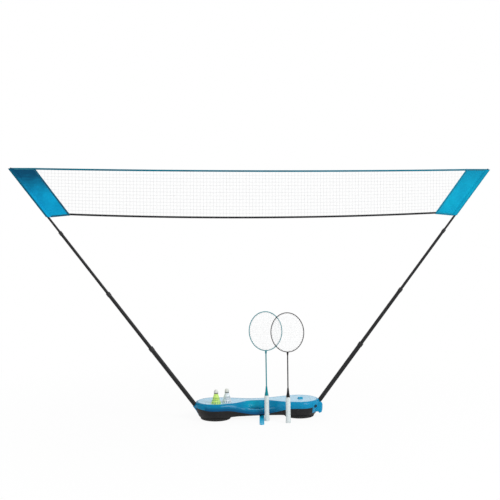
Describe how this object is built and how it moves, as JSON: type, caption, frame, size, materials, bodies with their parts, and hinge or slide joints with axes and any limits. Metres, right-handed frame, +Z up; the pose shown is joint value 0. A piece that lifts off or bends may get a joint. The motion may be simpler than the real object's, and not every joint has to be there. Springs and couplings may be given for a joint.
{
  "type": "portable badminton net set",
  "caption": "Free-standing badminton net: a hinged storage case on swing-out legs holds leaning telescopic poles with a net between, with rackets and shuttlecocks.",
  "frame": {"origin": "on the floor under the middle of the case", "axes": "+X along the net, +Z up, -Y to the side where the rackets stand"},
  "size_m": [3.0202, 0.4284, 1.5474],
  "materials": {
    "shell_blue": "gloss",
    "leg_cyan": "satin",
    "dark_plastic": "matt",
    "pad_rubber": "matt",
    "tube_metal": "satin",
    "pin_steel": "satin",
    "cloth_blue": "matt",
    "piping": "matt",
    "net_cord": "matt",
    "tape_black": "matt",
    "racket_blue": "gloss",
    "racket_black": "gloss",
    "cone_blue": "gloss",
    "cone_black": "gloss",
    "grip_white": "matt",
    "string_white": "satin",
    "nylon_yellow": "satin",
    "nylon_white": "satin",
    "cork": "matt"
  },
  "bodies": {
    "case": {"lower_shell": "dark_plastic", "front_leg_pin": "pin_steel", "rear_leg_pin": "pin_steel", "left_foot_pad": "pad_rubber", "left_socket": "shell_blue", "left_hinge_pin": "pin_steel", "left_lock_post": "dark_plastic", "right_foot_pad": "pad_rubber", "right_socket": "shell_blue", "right_hinge_pin": "pin_steel", "right_lock_post": "dark_plastic"},
    "lid": {"upper_shell": "shell_blue"},
    "front_leg_arm": {"front_leg": "leg_cyan"},
    "rear_leg_arm": {"rear_leg": "leg_cyan"},
    "left_lock": {"left_lid_knob": "shell_blue"},
    "right_lock": {"right_lid_knob": "shell_blue"},
    "left_button": {"left_release_button": "dark_plastic"},
    "right_button": {"right_release_button": "dark_plastic"},
    "left_pole_section_1": {"left_pole_1": "tube_metal", "left_collar_1": "dark_plastic", "left_base_plug": "dark_plastic"},
    "left_pole_section_2": {"left_pole_2": "tube_metal", "left_collar_2": "dark_plastic"},
    "left_pole_section_3": {"left_pole_3": "tube_metal", "left_collar_3": "dark_plastic"},
    "left_pole_section_4": {"left_pole_4": "tube_metal", "left_tip_cap": "dark_plastic"},
    "right_pole_section_1": {"right_pole_1": "tube_metal", "right_collar_1": "dark_plastic", "right_base_plug": "dark_plastic"},
    "right_pole_section_2": {"right_pole_2": "tube_metal", "right_collar_2": "dark_plastic"},
    "right_pole_section_3": {"right_pole_3": "tube_metal", "right_collar_3": "dark_plastic"},
    "right_pole_section_4": {"right_pole_4": "tube_metal", "right_tip_cap": "dark_plastic"},
    "net": {"top_tape": "cloth_blue", "bottom_tape": "tape_black", "net_mesh": "net_cord", "left_panel": "cloth_blue", "left_hem": "piping", "right_panel": "cloth_blue", "right_hem": "piping"},
    "blue_racket": {"blue_racket_grip": "grip_white", "blue_racket_cone": "cone_blue", "blue_racket_shaft": "racket_blue", "blue_racket_frame": "racket_blue", "blue_racket_strings": "string_white"},
    "black_racket": {"black_racket_grip": "grip_white", "black_racket_cone": "cone_black", "black_racket_shaft": "racket_black", "black_racket_frame": "racket_black", "black_racket_strings": "string_white"},
    "yellow_shuttle": {"yellow_shuttle_skirt": "nylon_yellow", "yellow_shuttle_cork": "cork"},
    "white_shuttle": {"white_shuttle_skirt": "nylon_white", "white_shuttle_cork": "cork"}
  },
  "joints": [
    {"name": "lid_hinge", "type": "hinge", "parent": "case", "child": "lid", "pos_m": [0, 0.1241, 0.066], "axis": [-1, 0, 0], "range_deg": [0, 100]},
    {"name": "left_lock_turn", "type": "hinge", "parent": "lid", "child": "left_lock", "pos_m": [-0.27, 0, 0.105], "axis": [0, 0, 1], "range_deg": [0, 90]},
    {"name": "right_lock_turn", "type": "hinge", "parent": "lid", "child": "right_lock", "pos_m": [0.27, 0, 0.105], "axis": [0, 0, 1], "range_deg": [0, 90]},
    {"name": "front_leg_swing", "type": "hinge", "parent": "case", "child": "front_leg_arm", "pos_m": [0.0195, -0.05, 0.018], "axis": [0, 0, -1], "range_deg": [0, 81.7]},
    {"name": "rear_leg_swing", "type": "hinge", "parent": "case", "child": "rear_leg_arm", "pos_m": [-0.0195, 0.05, 0.018], "axis": [0, 0, -1], "range_deg": [0, 81.7]},
    {"name": "left_release_press", "type": "slide", "parent": "case", "child": "left_button", "axis": [0.6561, -0.7547, 0], "range_m": [0, 0.003], "stiffness_N_per_m": 600},
    {"name": "right_release_press", "type": "slide", "parent": "case", "child": "right_button", "axis": [-0.6561, 0.7547, 0], "range_m": [0, 0.003], "stiffness_N_per_m": 600},
    {"name": "left_pole_pull", "type": "slide", "parent": "case", "child": "left_pole_section_1", "axis": [-0.6074, 0, 0.7944], "range_m": [0, 0.1]},
    {"name": "left_pole_slide_2", "type": "slide", "parent": "left_pole_section_1", "child": "left_pole_section_2", "axis": [-0.6074, 0, 0.7944], "range_m": [-0.398, 0]},
    {"name": "left_pole_slide_3", "type": "slide", "parent": "left_pole_section_2", "child": "left_pole_section_3", "axis": [-0.6074, 0, 0.7944], "range_m": [-0.441, 0]},
    {"name": "left_pole_slide_4", "type": "slide", "parent": "left_pole_section_3", "child": "left_pole_section_4", "axis": [-0.6074, 0, 0.7944], "range_m": [-0.4545, 0]},
    {"name": "right_pole_pull", "type": "slide", "parent": "case", "child": "right_pole_section_1", "axis": [0.6074, 0, 0.7944], "range_m": [0, 0.1]},
    {"name": "right_pole_slide_2", "type": "slide", "parent": "right_pole_section_1", "child": "right_pole_section_2", "axis": [0.6074, 0, 0.7944], "range_m": [-0.398, 0]},
    {"name": "right_pole_slide_3", "type": "slide", "parent": "right_pole_section_2", "child": "right_pole_section_3", "axis": [0.6074, 0, 0.7944], "range_m": [-0.441, 0]},
    {"name": "right_pole_slide_4", "type": "slide", "parent": "right_pole_section_3", "child": "right_pole_section_4", "axis": [0.6074, 0, 0.7944], "range_m": [-0.4545, 0]},
    {"name": "net_lift", "type": "slide", "parent": "case", "child": "net", "axis": [0, 0, 1], "range_m": [0, 0.4], "deforming": ["left_panel", "right_panel"]},
    {"name": "blue_racket_lift", "type": "slide", "parent": "case", "child": "blue_racket", "axis": [0.0175, 0.2249, 0.9742], "range_m": [0, 0.3]},
    {"name": "black_racket_lift", "type": "slide", "parent": "case", "child": "black_racket", "axis": [0.0286, 0.2249, 0.974], "range_m": [0, 0.3]},
    {"name": "yellow_shuttle_lift", "type": "slide", "parent": "lid", "child": "yellow_shuttle", "axis": [0, 0, 1], "range_m": [0, 0.2]},
    {"name": "white_shuttle_lift", "type": "slide", "parent": "lid", "child": "white_shuttle", "axis": [0, 0, 1], "range_m": [0, 0.2]}
  ]
}
